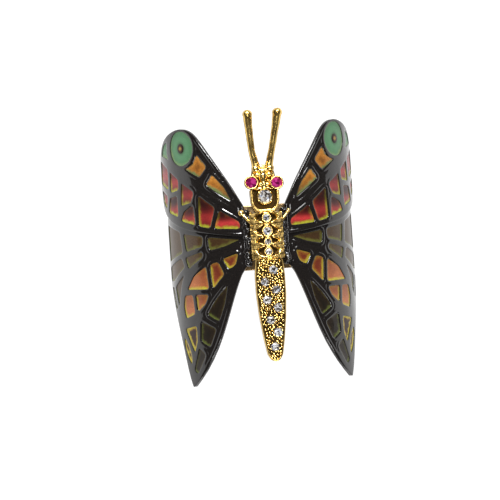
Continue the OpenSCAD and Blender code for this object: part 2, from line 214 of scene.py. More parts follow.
def towards(points, loop):
    """The direction from each point to the nearest point of a closed loop."""
    starts, ends = loop, np.roll(loop, -1, axis=0)
    best, found = np.full(len(points), np.inf), np.zeros((len(points), 2))
    for a, b in zip(starts, ends):
        ab = b - a
        t = np.clip(((points - a) @ ab) / max(ab @ ab, 1e-12), 0, 1)
        gap = a + t[:, None] * ab - points
        size = np.linalg.norm(gap, axis=1)
        nearer = size < best
        best[nearer], found[nearer] = size[nearer], gap[nearer]
    return found / np.maximum(best, 1e-9)[:, None]


def inside(points, loop):
    """Whether each point is inside a closed loop."""
    x, y = points[:, 0], points[:, 1]
    hit = np.zeros(len(points), bool)
    for (x0, y0), (x1, y1) in zip(loop, np.roll(loop, -1, axis=0)):
        crosses = (y0 > y) != (y1 > y)
        hit ^= crosses & (x < (x1 - x0) * (y - y0) / (y1 - y0 + 1e-15) + x0)
    return hit


def area(loop):
    """The area inside a closed loop, above 0 where it runs anticlockwise."""
    x, y = loop[:, 0], loop[:, 1]
    return 0.5 * np.sum(x * np.roll(y, -1) - np.roll(x, -1) * y)


def even_loop(loop, step, passes):
    """The loop at an even spacing, softened by averaging."""
    closed = np.vstack([loop, loop[:1]])
    run = np.concatenate([[0], np.cumsum(np.linalg.norm(np.diff(closed, axis=0), axis=1))])
    n = max(12, int(run[-1] / step))
    at = np.arange(n) * run[-1] / n
    out = np.column_stack([np.interp(at, run, closed[:, k]) for k in (0, 1)])
    for _ in range(passes):
        out = 0.25 * np.roll(out, 1, axis=0) + 0.5 * out + 0.25 * np.roll(out, -1, axis=0)
    return out


def inset(loop, by):
    """The loop moved towards its left-hand side by a distance. A negative one moves it out."""
    along = np.roll(loop, -1, axis=0) - np.roll(loop, 1, axis=0)
    along /= np.linalg.norm(along, axis=1)[:, None] + 1e-12
    return loop + by * np.column_stack([-along[:, 1], along[:, 0]])


def sheet(outline, holes, rings, grid):
    """Triangles that fill the outline less its holes, finest beside the edges: (points, triangles, loops).

    rings are the distances from the edges at which rows of points run, and grid is the spacing of the
    points beyond them. The outline runs anticlockwise and the holes clockwise, so that the sheet is on
    their left."""
    loops = [outline, *holes]
    edge_points = np.vstack(loops)

    def edge_distance(p):
        return np.minimum.reduce([distance(p, loop, True) for loop in loops])

    def within(p):
        ok = inside(p, outline)
        for hole in holes:
            ok &= ~inside(p, hole)
        return ok

    extra = []
    for by in rings:
        ring = np.vstack([inset(loop, by) for loop in loops])
        ring = ring[within(ring)]
        extra.append(ring[edge_distance(ring) > 0.9 * by])
    low, high = outline.min(0), outline.max(0)
    xs = np.arange(low[0], high[0], grid)
    ys = np.arange(low[1], high[1], grid * 0.866)
    middle = np.array([(x + (j % 2) * grid / 2, y) for j, y in enumerate(ys) for x in xs])
    middle = middle[within(middle)]
    extra.append(middle[edge_distance(middle) > rings[-1] + 0.45 * grid])
    points = np.vstack([edge_points, *extra])
    edges, start = [], 0
    for loop in loops:
        n = len(loop)
        edges += [(start + i, start + (i + 1) % n) for i in range(n)]
        start += n
    made, _, tris, _, _, _ = geometry.delaunay_2d_cdt(
        [Vector(p) for p in points], edges, [], 0, 1e-7)
    made = np.array([tuple(v) for v in made])
    tris = np.array([tuple(t) for t in tris if len(t) == 3])
    tris = tris[within(made[tris].mean(1))]
    return made, tris, loops


def shell(points, tris, top, bottom):
    """A closed solid between two heights of the same sheet, in (s, y, radius)."""
    n = len(points)
    faces = [tuple(t) for t in tris] + [(n + t[2], n + t[1], n + t[0]) for t in tris]
    edges = dict.fromkeys(e for a, b, c in tris for e in ((a, b), (b, c), (c, a)))
    faces += [(b, a, n + a, n + b) for a, b in edges if (b, a) not in edges]
    upper = np.column_stack([points, top])
    lower = np.column_stack([points, np.broadcast_to(bottom, n)])
    return np.vstack([upper, lower]), faces


def rolled(flat):
    """From (distance round the arch, y, radius) to x, y, z. The distance is measured at FORE_R."""
    angle = flat[:, 0] / FORE_R
    return np.column_stack([flat[:, 2] * np.sin(angle), flat[:, 1], flat[:, 2] * np.cos(angle) + ARCH_Z])


# ---------------------------------------------------------------- reading the CAD meshes

FLAT = 0.004          # a vertex this near a face belongs to it


def welded(node):
    """The node's distinct vertices and its triangles."""
    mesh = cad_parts[node].data
    mesh.calc_loop_triangles()
    tris = np.zeros(len(mesh.loop_triangles) * 3, int)
    mesh.loop_triangles.foreach_get("vertices", tris)
    points, index = np.unique(np.round(node_points(node), 4), axis=0, return_inverse=True)
    tris = index.reshape(-1)[tris].reshape(-1, 3)
    return points, tris


def islands(node):
    """The points of each separate solid in the node, from the largest Y to the smallest."""
    points, tris = welded(node)
    group = np.arange(len(points))
    while True:
        low = group[tris].min(1)
        before = group.copy()
        for k in range(3):
            np.minimum.at(group, tris[:, k], low)
        if (group == before).all():
            break
    found = [points[group == g] for g in np.unique(group)]
    return sorted(found, key=lambda p: -p[:, 1].mean())


def face_loops(tris, on_face, flat):
    """The borders of the face whose vertices are marked, in flat coordinates, the largest loop first."""
    tris = tris[on_face[tris].all(1)]
    p = flat[tris]
    span = p[:, 1] - p[:, 0], p[:, 2] - p[:, 0]
    turned = span[0][:, 0] * span[1][:, 1] - span[0][:, 1] * span[1][:, 0] < 0
    tris[turned] = tris[turned][:, ::-1]
    edges = {(a, b) for t in tris for a, b in ((t[0], t[1]), (t[1], t[2]), (t[2], t[0]))}
    onward = {a: b for a, b in edges if (b, a) not in edges}
    loops = []
    while onward:
        start, at = onward.popitem()
        loop = [start]
        while at != start and at in onward:
            loop.append(at)
            at = onward.pop(at)
        if len(loop) > 4:
            loops.append(flat[loop])
    return sorted(loops, key=lambda loop: -abs(area(loop)))


def unrolled_loops(node, radius):
    """The borders of the node's face at a radius, as (distance round the arch, y)."""
    points, tris = welded(node)
    flat = np.column_stack([FORE_R * np.arctan2(points[:, 0], points[:, 2] - ARCH_Z), points[:, 1]])
    return face_loops(tris, abs(radius_of(points) - radius) < FLAT, flat)


# ---------------------------------------------------------------- materials

def shader(name):
    """A new material's two functions: one adds a node to it, and one gives it its surface."""
    material = bpy.data.materials.new(name)
    material.use_nodes = True
    tree = material.node_tree

    def fill(node, inputs):
        for key, value in inputs.items():
            if isinstance(value, bpy.types.NodeSocket):
                tree.links.new(value, node.inputs[key])
            else:
                node.inputs[key].default_value = value

    def add(kind, inputs=None, **settings):
        node = tree.nodes.new(kind)
        for key, value in settings.items():
            setattr(node, key, value)
        fill(node, inputs or {})
        return node

    def surface(inputs):
        fill(tree.nodes["Principled BSDF"], inputs)
        return material

    return add, surface


def ramp(add, factor, stops):
    """A colour for each factor, from stops of (factor, colour)."""
    node = add("ShaderNodeValToRGB", {"Fac": factor})
    elements = node.color_ramp.elements
    while len(elements) < len(stops):
        elements.new(0.5)
    for element, (at, colour) in zip(elements, stops):
        element.position = at
        element.color = (*colour, 1)
    return node.outputs["Color"]


def grain(add, scale, detail=3, roughness=0.6):
    """Noise in the object's own millimetres, at a number of features per millimetre."""
    where = add("ShaderNodeTexCoord").outputs["Object"]
    node = add("ShaderNodeTexNoise", {
        "Vector": where, "Scale": scale / MM, "Detail": detail, "Roughness": roughness})
    return node.outputs["Fac"]


def ranged(add, value, low, high, to_low, to_high):
    """The value moved from one range to another, and clamped to it."""
    return add("ShaderNodeMapRange", {
        "Value": value, "From Min": low, "From Max": high, "To Min": to_low, "To Max": to_high
    }).outputs["Result"]


def bumped(add, height, depth):
    """A normal for a relief of a depth in millimetres."""
    node = add("ShaderNodeBump", {"Height": height, "Distance": depth * MM, "Strength": 1.0})
    return node.outputs["Normal"]


def attribute(add, name):
    return add("ShaderNodeAttribute", attribute_name=name).outputs["Fac"]


def mixed(add, share, first, second):
    """The first colour where share is 0, and the second where it is 1."""
    return add("ShaderNodeMix", {0: share, 6: first, 7: (*second, 1)}, data_type="RGBA").outputs[2]


def times(add, first, second, clamp=False):
    return add("ShaderNodeMath", {0: first, 1: second}, operation="MULTIPLY", use_clamp=clamp).outputs[0]


SHADE_GOLD = (0.062, 0.036, 0.011)      # painted shade: gold's colour where its deep attribute is 1
SHADE_ROUGH = 0.45


def gold(name, dark, bright=(1.0, 0.72, 0.28), polish=(0.12, 0.30), hammer=0.02):
    """Yellow gold with a hand-worked surface, painted dark as shade where its deep attribute says.

    polish is its range of roughness, and hammer the depth of the marks of working, in millimetres."""
    add, surface = shader(name)
    fine = grain(add, 2.2)
    deep = attribute(add, "deep")
    clean = ramp(add, grain(add, 0.77), [(0.25, dark), (0.55, bright), (1, bright)])
    worn = ranged(add, fine, 0.3, 0.7, *polish)
    return surface({
        # painted shade: the colour turns to a dark brown where deep is 1
        "Base Color": mixed(add, deep, clean, SHADE_GOLD),
        "Roughness": add("ShaderNodeMix", {0: deep, 2: worn, 3: SHADE_ROUGH}).outputs[0],
        "Normal": bumped(add, fine, hammer),
        "Metallic": 1.0,
    })


COAT_ROUGH = 0.04                    # roughness of the glossy coat on every enamel
SPOT = (0.022, 0.010, 0.006)         # an enamel's colour where its spot attribute is 1


def black_enamel(name):
    """Glossy black over metal, with the faint waviness of a hand-laid coat."""
    add, surface = shader(name)
    wave = grain(add, 0.9, 1)
    speck = grain(add, 9, 2)
    return surface({
        "Base Color": ramp(add, speck, [(0.3, (0.004, 0.003, 0.003)), (0.75, (0.022, 0.018, 0.016))]),
        "Roughness": ranged(add, speck, 0.3, 0.8, 0.10, 0.22),
        "Normal": bumped(add, wave, 0.015),
        "Coat Normal": bumped(add, wave, 0.015),
        "Specular IOR Level": 0.2,
        "Coat Weight": 0.7,
        "Coat Roughness": COAT_ROUGH,
    })


def enamel(name, stops, glow, lime, reach=1.0, speckle=0.35, mottle=0.4):
    """Glossy enamel that changes colour from the cell's border inwards, over a reach in millimetres.

    It reads these attributes of a pane: rim is the distance from the border, glow is where painted light
    or shade turns the pane to the colour glow, edge is where a painted lit fringe of the colour lime shows
    along the border, spot is where it is nearly black, and tint is how light it is: a tone that differs from
    cell to cell, times painted shade. mottle is how far the colours wander, in millimetres, and speckle how
    much the tone does."""
    add, surface = shader(name)
    patch = grain(add, 1.3, 4)
    fine = grain(add, 7, 4, 0.7)
    shift = ranged(add, patch, 0.3, 0.7, -mottle / 2, mottle / 2)
    depth = add("ShaderNodeMath", {0: attribute(add, "rim"), 1: shift}, operation="ADD").outputs[0]
    body = ramp(add, times(add, depth, 1 / reach), stops)
    # painted light: the pane turns to the colour glow where its glow attribute says
    lit = times(add, attribute(add, "glow"), ranged(add, patch, 0.25, 0.75, 0.7, 1.2), True)
    # painted light: a lit lime fringe along the border
    fringe = times(add, attribute(add, "edge"), ranged(add, depth, 0.12, 0.5, 1, 0), True)
    colour = mixed(add, lit, body, glow)
    colour = mixed(add, fringe, colour, lime)
    colour = mixed(add, attribute(add, "spot"), colour, SPOT)
    # the tint attribute carries painted shade as well as each cell's own tone
    value = times(add, ranged(add, fine, 0.25, 0.75, 1 - speckle, 1 + speckle), attribute(add, "tint"))
    return surface({
        "Base Color": add("ShaderNodeHueSaturation", {"Color": colour, "Value": value}).outputs["Color"],
        "Roughness": ranged(add, fine, 0.3, 0.7, 0.35, 0.5),
        "Coat Normal": bumped(add, grain(add, 0.8, 1), 0.012),
        "Specular IOR Level": 0.15,
        "Coat Weight": 0.30,
        "Coat Roughness": COAT_ROUGH,
    })


def gem(name, stops, ior, clear, sparks):
    """A cut stone: clear in part, over a painted sparkle of light and dark facets, with so many to a
    millimetre.
    """
    add, surface = shader(name)
    where = add("ShaderNodeTexCoord").outputs["Object"]
    facet = add("ShaderNodeTexVoronoi", {"Vector": where, "Scale": sparks / MM}).outputs["Color"]
    facet = add("ShaderNodeSeparateColor", {"Color": facet}).outputs["Red"]
    return surface({
        # painted sparkle: light, dark and blue facets painted into the colour stand in for reflections
        "Base Color": ramp(add, facet, stops),
        "Roughness": ranged(add, facet, 0.0, 1.0, 0.02, 0.08),
        "Transmission Weight": clear,
        "IOR": ior,
    })


GOLD = gold("gold", dark=(0.39, 0.235, 0.06), bright=(0.92, 0.635, 0.20))
HEAD_GOLD = gold("head_gold", dark=(0.42, 0.25, 0.06), bright=(0.95, 0.67, 0.23), hammer=0.005)
WIRE_GOLD = gold("wire_gold", dark=(0.40, 0.23, 0.05), bright=(0.97, 0.70, 0.25), polish=(0.08, 0.20),
                 hammer=0.01)
# painted shade: a darker copy of the gold for the bow, bracket and catch housing, which sit in shade behind
# the wings
SHADED_BOW_GOLD = gold("bow_gold", dark=(0.22, 0.13, 0.05), bright=(0.46, 0.31, 0.15), polish=(0.18, 0.30),
                hammer=0.006)
PIN_GOLD = gold("pin_gold", dark=(0.6, 0.38, 0.13), polish=(0.14, 0.24), hammer=0.004)
BLACK = black_enamel("black_enamel")
DIAMOND = gem("diamond", [
    (0.0, (0.03, 0.025, 0.02)), (0.25, (0.12, 0.10, 0.085)), (0.45, (0.45, 0.41, 0.38)),
    (0.58, (0.90, 0.87, 0.84)), (0.69, (0.36, 0.46, 0.72)), (0.74, (0.98, 0.98, 0.98)),
], 2.2, 0.15, 3.8)
RUBY = gem("ruby", [
    (0.0, (0.10, 0.001, 0.03)), (0.5, (0.34, 0.003, 0.12)), (0.9, (0.70, 0.05, 0.32)),
], 1.6, 0.15, 2.6)
LIME = (0.40, 0.44, 0.03)
BROWN = enamel("brown_enamel", [
    (0, (0.26, 0.16, 0.04)), (0.12, (0.52, 0.22, 0.04)), (0.5, (0.45, 0.17, 0.024)),
    (1, (0.25, 0.09, 0.015)),
], (0.085, 0.055, 0.018), (0.16, 0.22, 0.08), speckle=0.5)
RED = enamel("red_enamel", [
    (0, (0.36, 0.15, 0.03)), (0.10, (0.34, 0.07, 0.02)), (0.28, (0.16, 0.018, 0.012)),
    (1, (0.08, 0.008, 0.008)),
], (0.62, 0.045, 0.045), LIME)
GREEN = enamel("green_enamel", [
    (0, (0.12, 0.27, 0.11)), (0.35, (0.085, 0.25, 0.11)), (1, (0.11, 0.30, 0.14)),
], (0.45, 0.50, 0.2), (0.22, 0.36, 0.14), speckle=0.2)
PUPIL = enamel("pupil_enamel", [
    (0, (0.020, 0.010, 0.006)), (0.45, (0.035, 0.014, 0.006)), (0.75, (0.36, 0.20, 0.04)),
    (1, (0.42, 0.26, 0.06)),
], (0.30, 0.14, 0.03), (0.02, 0.01, 0.006), reach=0.7, mottle=0.05)
OLIVE = enamel("olive_enamel", [
    (0, (0.10, 0.07, 0.015)), (0.3, (0.070, 0.036, 0.012)), (1, (0.060, 0.028, 0.009)),
], (0.095, 0.060, 0.032), (0.16, 0.17, 0.03), speckle=0.5)
ORANGE = enamel("orange_enamel", [
    (0, (0.40, 0.26, 0.03)), (0.16, (0.34, 0.12, 0.02)), (0.45, (0.20, 0.034, 0.014)),
    (1, (0.15, 0.022, 0.012)),
], (0.52, 0.17, 0.06), (0.52, 0.47, 0.04), reach=1.3)
DARK = enamel("dark_enamel", [
    (0, (0.06, 0.045, 0.012)), (0.22, (0.022, 0.013, 0.006)), (1, (0.012, 0.008, 0.004)),
], (0.12, 0.12, 0.04), (0.12, 0.14, 0.03), speckle=0.5)
YELLOW = enamel("yellow_enamel", [
    (0, (0.58, 0.46, 0.03)), (0.30, (0.46, 0.32, 0.02)), (0.55, (0.08, 0.025, 0.008)),
    (1, (0.03, 0.012, 0.008)),
], (0.50, 0.40, 0.1), (0.55, 0.46, 0.05), reach=0.75)


# ---------------------------------------------------------------- wings

BEAD = 0.34          # the rounded border of a black wall is this wide
SHOULDER = 0.10      # and this much lower at the edge
CREST = 0.05         # and the wall's middle rises this far above the CAD's face
THINNED = 0.06       # the walls are this much slimmer on each side than the CAD's
GROOVE_AT = 0.62     # a groove runs along broad walls, this far in from each edge
GROOVE_W = 0.16
GROOVE_D = 0.10
FLAT_FROM = 14.5     # this far round the arch from the middle the walls have lost their relief
PLAIN_FROM = 12.0    # and this far round it the groove has run out
OVERLAP = 0.08       # a pane runs this far under the wall around it
PANE_T = 0.3
MENISCUS = 0.03      # a pane rises this much towards the walls


def wall_height(gap, out):
    """How far a black wall stands above the CAD's face.

    gap is the distance from its nearest edge, and out the distance round the arch from the middle. The
    walls flatten towards the outer part of the wing."""
    relief = np.clip((FLAT_FROM - out) / 4, 0.3, 1)
    t = np.clip(gap / BEAD, 0, 1)
    crown = -SHOULDER + (SHOULDER + CREST) * np.sqrt(1 - (1 - t) ** 2)
    groove = GROOVE_D * np.exp(-((gap - GROOVE_AT) / GROOVE_W) ** 2) * np.clip((PLAIN_FROM - out) / 3, 0, 1)
    return (crown - groove) * relief


def wing_sheets():
    """The borders of each wing's frame: {(wing, side): (outline, holes)}."""
    found = {}
    for wing, radius in (("forewing", FORE_R), ("hindwing", HIND_R)):
        for side in SIDES:
            loops = unrolled_loops(f"{wing}_frame_{side}", radius)
            outline = even_loop(loops[0], 0.14, 6)
            holes = [even_loop(h, 0.11, 2) for h in loops[1:] if abs(area(h)) > 0.05]
            if area(outline) < 0:
                outline = outline[::-1]
            holes = [inset(h[::-1] if area(h) > 0 else h, -THINNED) for h in holes]
            found[wing, side] = outline, holes
    return found


def wing_frame(wing, side, outline, holes, radius):
    points, tris, loops = sheet(outline, holes, (0.04, 0.09, 0.16, 0.25, 0.34, 0.44, 0.53, 0.62, 0.74), 0.2)
    gap = np.minimum.reduce([distance(points, loop, True) for loop in loops])
    name = f"{wing}_frame_{side}"
    inner = radius_of(node_points(name)).min()
    verts, faces = shell(points, tris, radius + wall_height(gap, abs(points[:, 0])), inner)
    new_piece(f"{name}_look", rolled(verts), faces, BLACK, "root", [name])


EYESPOT_AREA = 12    # a green cell larger than this is the eyespot
CELL_OF = {
    "forewing": (("brown", BROWN), ("red", RED), ("green", GREEN)),
    "hindwing": (("olive", OLIVE), ("orange", ORANGE), ("dark", DARK), ("yellow", YELLOW)),
}


def share_up(cell, y):
    """How far up a cell each y is, from 0 at its back to 1 at its front."""
    low, high = cell.min(0)[1], cell.max(0)[1]
    return (y - low) / (high - low)


def pane_glow(colour, cell, s, y):
    """Where painted light shows on a pane: a lit band on the red ones, lighter towards the outside on the
    orange ones, a greying reflection towards the outside on the olive ones, and shade near the body on the
    brown ones. s is the distance out from the middle.
    """
    up = share_up(cell, y)
    middle_s, middle_y = abs(cell[:, 0]).mean(), cell[:, 1].mean()
    if colour == "red":
        if middle_s > 11.5 and middle_y > 7:
            return np.clip(1.6 * up - 0.2, 0, 1)
        near_root = np.clip(1.1 - (middle_s - 4) / 8, 0.35, 1)
        return near_root * np.exp(-((up - 0.33) / 0.20) ** 2)
    if colour == "brown":
        return np.clip(1 - (s - 4.5) / 5, 0, 1) * np.clip(1.3 - 1.5 * up, 0, 1)
    if colour == "olive":
        return np.clip((s - 11) / 4, 0, 1)
    if colour == "orange":
        return np.clip((s - 8) / 5, 0, 1) * np.clip(1.2 - 0.6 * up, 0, 1)
    return np.zeros(len(s))


def pane_shade(colour, cell, y):
    """Painted shade: how light a pane is from its back to its front; the red ones are dark along the front.
    """
    up = share_up(cell, y)
    if colour == "red":
        return 1.15 - 0.9 * np.clip((up - 0.40) / 0.35, 0, 1)
    if colour == "brown":
        return 0.85 + 0.3 * up
    if colour == "orange":
        return 1.1 - 0.35 * up
    return np.ones(len(y))


def cells_by_colour(wing, side, holes, radius):
    """The holes of a wing's frame under the colour of the CAD pane that fills each: {colour: [hole]}."""
    centres = []
    for colour, _ in CELL_OF[wing]:
        for loop in unrolled_loops(f"{wing}_{colour}_enamel_{side}", radius):
            centres.append((colour, loop.mean(0), abs(area(loop))))
    cells = {colour: [] for colour, _ in CELL_OF[wing]}
    for hole in holes:
        gaps = [np.linalg.norm(hole.mean(0) - c) + 0.4 * abs(math.sqrt(a) - math.sqrt(-area(hole)))
                for _, c, a in centres]
        cells[centres[int(np.argmin(gaps))][0]].append(hole)
    return cells


def pane(colour, hole, side, radius, tint):
    """One pane as (verts, faces) in (s, y, radius), and its attributes."""
    points, tris, loops = sheet(inset(hole, OVERLAP)[::-1], [], (0.12, 0.3), 0.25)
    gap = distance(points, hole, True)
    gap[distance(points, loops[0], True) < OVERLAP] = 0
    aim = towards(points, loops[0])
    outward = aim[:, 0] * SIGN[side]
    values = {
        "rim": gap,
        "glow": pane_glow(colour, hole, abs(points[:, 0]), points[:, 1]),
        # painted light: a lit lime fringe along the borders that face back and outward
        "edge": np.clip(-0.85 * aim[:, 1] + 0.65 * outward, 0, 1),
        # a tone that differs from cell to cell, times painted shade across the pane
        "tint": tint * pane_shade(colour, hole, points[:, 1]),
        "spot": np.zeros(len(points)),
    }
    if colour == "green" and abs(area(hole)) > EYESPOT_AREA:
        out = np.linalg.norm(points - hole.mean(0), axis=1)
        values["spot"] = np.clip(1.5 - out / 0.75, 0, 1)
    solid = shell(points, tris, radius + MENISCUS * np.exp(-gap / 0.2), radius - PANE_T)
    return solid, {key: np.tile(value, 2) for key, value in values.items()}


def panes(wing, side, holes, radius):
    """The enamel of one wing, a piece for each colour."""
    rng = np.random.default_rng(7)
    cells = cells_by_colour(wing, side, holes, radius)
    for colour, material in CELL_OF[wing]:
        made = [pane(colour, hole, side, radius, rng.uniform(0.85, 1.15)) for hole in cells[colour]]
        verts, faces = joined([solid for solid, _ in made])
        values = {key: np.concatenate([found[key] for _, found in made]) for key in made[0][1]}
        name = f"{wing}_{colour}_enamel_{side}"
        new_piece(f"{name}_look", rolled(verts), faces, material, "root", [name],
                  values=values)


def build_pupil(side):
    """A low round boss in the middle of the eyespot."""
    name = f"forewing_pupil_{side}"
    low, high = node_box(name)
    middle = (low + high) / 2
    angle = math.atan2(middle[0], middle[2] - ARCH_Z)
    out = math.hypot(middle[0], middle[2] - ARCH_Z)
    radius = (high[1] - low[1]) / 2
    rise = FORE_PANE_R - out
    flat, faces = lathe([
        (0, rise - 0.3), (radius, rise - 0.3), (radius, rise + 0.01), (0.93 * radius, rise + 0.035),
        (0.7 * radius, rise + 0.055), (0.45 * radius, rise + 0.065), (0.25 * radius, rise + 0.07),
        (0, rise + 0.075),
    ], 36)
    rim = radius - np.hypot(flat[:, 0], flat[:, 1])
    across = np.array((math.cos(angle), 0, -math.sin(angle)))
    outward = np.array((math.sin(angle), 0, math.cos(angle)))
    verts = middle + flat[:, :1] * across + flat[:, 1:2] * (0, 1, 0) + flat[:, 2:] * outward
    values = {"rim": rim, "tint": np.ones(len(verts))}
    new_piece(f"{name}_look", verts, faces, PUPIL, "root", [name], values=values)


def build_wings():
    for (wing, side), (outline, holes) in wing_sheets().items():
        radius, pane_r = (FORE_R, FORE_PANE_R) if wing == "forewing" else (HIND_R, HIND_PANE_R)
        wing_frame(wing, side, outline, holes, radius)
        panes(wing, side, holes, pane_r)
    for side in SIDES:
        build_pupil(side)


build_wings()


# ---------------------------------------------------------------- shapes for the body

def ball(centre, radii, level=3):
    """An ellipsoid."""
    made = bmesh.new()
    bmesh.ops.create_icosphere(made, subdivisions=level, radius=1)
    verts, faces = arrays(made)
    return verts * np.asarray(radii) + np.asarray(centre), faces


def hull(points):
    """The convex solid round the points, with its flat facets whole."""
    made = bmesh.new()
    for p in points:
        made.verts.new(p)
    bmesh.ops.convex_hull(made, input=made.verts[:])
    bmesh.ops.dissolve_limit(made, angle_limit=0.02, verts=made.verts[:], edges=made.edges[:])
    return arrays(made)


def evaluated(verts, faces, *modifiers):
    """The mesh after modifiers, each given as (type, settings). Lengths are in millimetres throughout."""
    mesh = bpy.data.meshes.new("draft")
    mesh.from_pydata([tuple(v) for v in verts], [], faces)
    draft = bpy.data.objects.new("draft", mesh)
    bpy.context.scene.collection.objects.link(draft)
    for kind, settings in modifiers:
        modifier = draft.modifiers.new(kind.lower(), kind)
        for key, value in settings.items():
            setattr(modifier, key, value)
    graph = bpy.context.evaluated_depsgraph_get()
    result = draft.evaluated_get(graph).to_mesh()
    verts = np.zeros(len(result.vertices) * 3)
    result.vertices.foreach_get("co", verts)
    faces = [tuple(f.vertices) for f in result.polygons]
    draft.evaluated_get(graph).to_mesh_clear()
    bpy.data.objects.remove(draft)
    bpy.data.meshes.remove(mesh)
    return verts.reshape(-1, 3), faces


def fused(parts, voxel, relax):
    """One closed skin round overlapping closed parts."""
    return evaluated(
        *joined(parts),
        ("REMESH", {"mode": "VOXEL", "voxel_size": voxel}),
        ("SMOOTH", {"iterations": relax, "factor": 0.5}))


def hammered(verts, faces, depth, per_mm, swell=0.0):
    """The surface swollen, and pushed in and out by smooth noise."""
    made = drafted(verts, faces)
    out = [v.co + v.normal * (swell + depth * noise.noise(v.co * per_mm)) for v in made.verts]
    made.free()
    return np.array([tuple(v) for v in out]), faces


def cad_mesh(node):
    """The node's own shape as (verts, faces)."""
    points, tris = welded(node)
    return points, [tuple(int(i) for i in t) for t in tris]


def cup(x, y, r_out, r_in, base, rim, well, wall):
    """A round setting that is closed below, with a soft rim and a conical well."""
    verts, faces = lathe([
        (0, base), (r_out * 0.93, base), (r_out * 0.98, base + 0.3 * (rim - base)),
        (r_out, rim - wall), (r_out - 0.25 * wall, rim - 0.3 * wall), ((r_out + r_in) / 2, rim),
        (r_in + 0.25 * wall, rim - 0.3 * wall), (r_in, rim - wall), (r_in * 0.9, rim - 0.35 * (rim - well)),
        (r_in * 0.3, well), (0, well),
    ], 40)
    return verts + (x, y, 0), faces


def brilliant(x, y, top, d, turn, lean):
    """A round brilliant-cut stone with its table at the top. lean is its slope along X and Y."""
    rings = (
        (0.28, 0.0, 8, 0.0), (0.40, -0.06, 8, 0.5), (0.5, -0.145, 16, 0.0), (0.5, -0.175, 16, 0.0),
        (0.21, -0.44, 8, 0.5), (0.0, -0.59, 1, 0.0),
    )
    points = []
    for r, h, n, ahead in rings:
        for k in range(n):
            a = turn + (k + ahead) * math.tau / n
            across, along = d * r * math.cos(a), d * r * math.sin(a)
            points.append((x + across, y + along, top + d * h + lean[0] * across + lean[1] * along))
    return hull(points)


def stone_places(node):
    """(x, y, top, diameter) of each stone in the node."""
    places = []
    for points in islands(node):
        low, high = points.min(0), points.max(0)
        x, y, _ = (low + high) / 2
        places.append((x, y, high[2], high[0] - low[0]))
    return places


def gold_piece(name, shape, nodes, material=GOLD, deep=None, start=0.5):
    """A piece of gold on the root, painted dark as shade by deep, or else where it turns down from facing up.
    """
    verts, faces = shape
    if deep is None:
        # painted shade: the gold's sides and undersides are darkened
        deep = turned_down_shade(verts, faces, start)
    new_piece(name, verts, faces, material, "root", nodes, values={"deep": deep})


def stone_piece(node, shape, material):
    verts, faces = shape
    new_piece(f"{node}_look", verts, faces, material, "root", [node], smooth=False)


def build_small_stones(node):
    """Small diamonds, each turned and leaned a little differently."""
    rng = np.random.default_rng(3)
    stones = [
        brilliant(x, y, top, d, rng.random() * math.tau, rng.uniform(-0.14, 0.14, 2))
        for x, y, top, d in stone_places(node)
    ]
    stone_piece(node, joined(stones), DIAMOND)


# ---------------------------------------------------------------- head


def build_head():
    low = node_box("head")[0]
    skull_top = 15.85
    half_outline = ((1.95, low[1]), (2.0, low[1] + 0.35), (1.35, 10.0), (1.6, 11.1), (1.25, 11.85))
    skull = hull([(side * x, y, z) for side in (1, -1) for x, y in half_outline for z in (low[2], skull_top)])
    lumps = [
        skull, ball((-0.05, 9.95, 16.2), (0.66, 1.3, 0.82)), ball((0, 11.1, 16.1), (1.3, 0.4, 0.6)),
        ball((0, 8.38, 16.0), (1.85, 0.36, 0.66)), ball((0, 9.0, 16.25), (0.62, 0.85, 0.62)),
    ]
    for side in (-1, 1):
        lumps += [
            ball((side * 0.58, 8.95, 16.35), (0.34, 0.36, 0.5)),
            ball((side * 1.02, 11.35, 16.1), (0.64, 0.66, 0.74)),
            ball((side * 0.85, 10.4, 15.95), (0.38, 0.55, 0.55)),
        ]
    gold_piece("head_look", hammered(*fused(lumps, 0.07, 3), 0.05, 1.3, 0.03), ["head"], HEAD_GOLD)


def raised(loops, top, bottom, edge, drop):
    """A wall over a flat outline whose top is rounded over within edge of its border, by drop.

    Its vertices come in two halves, the top and then the bottom."""
    outline = even_loop(loops[0], 0.1, 2)
    if area(outline) < 0:
        outline = outline[::-1]
    points, tris, borders = sheet(outline, [], (0.04, 0.09, 0.15), 0.16)
    gap = distance(points, borders[0], True)
    t = np.clip(gap / edge, 0, 1)
    height = top - drop * (1 - np.sqrt(1 - (1 - t) ** 2))
    return shell(points, tris, height, bottom)


def flat_loops(node, z):
    """The borders of the node's level face at a height."""
    points, tris = welded(node)
    return face_loops(tris, abs(points[:, 2] - z) < FLAT, points[:, :2])


def build_collar():
    """The U-shaped rim and the floor of its hollow, painted dark as shade everywhere but along the rim's top.
    """
    low, high = node_box("head_collar")
    floor_z = node_box("head_setting")[0][2]
    rim = raised(flat_loops("head_collar", high[2]), high[2] + 0.02, low[2], 0.22, 0.2)
    slab = raised(flat_loops("head_collar", low[2]), floor_z + 0.05, low[2], 0.05, 0.02)
    # painted shade: the hollow's floor and the rim's sides are dark, only the rim's top is left bright
    deep = np.ones(len(rim[0]) + len(slab[0]))
    deep[:len(rim[0]) // 2] = 0
    gold_piece("head_collar_look", joined([rim, slab]), ["head_collar"], deep=deep)


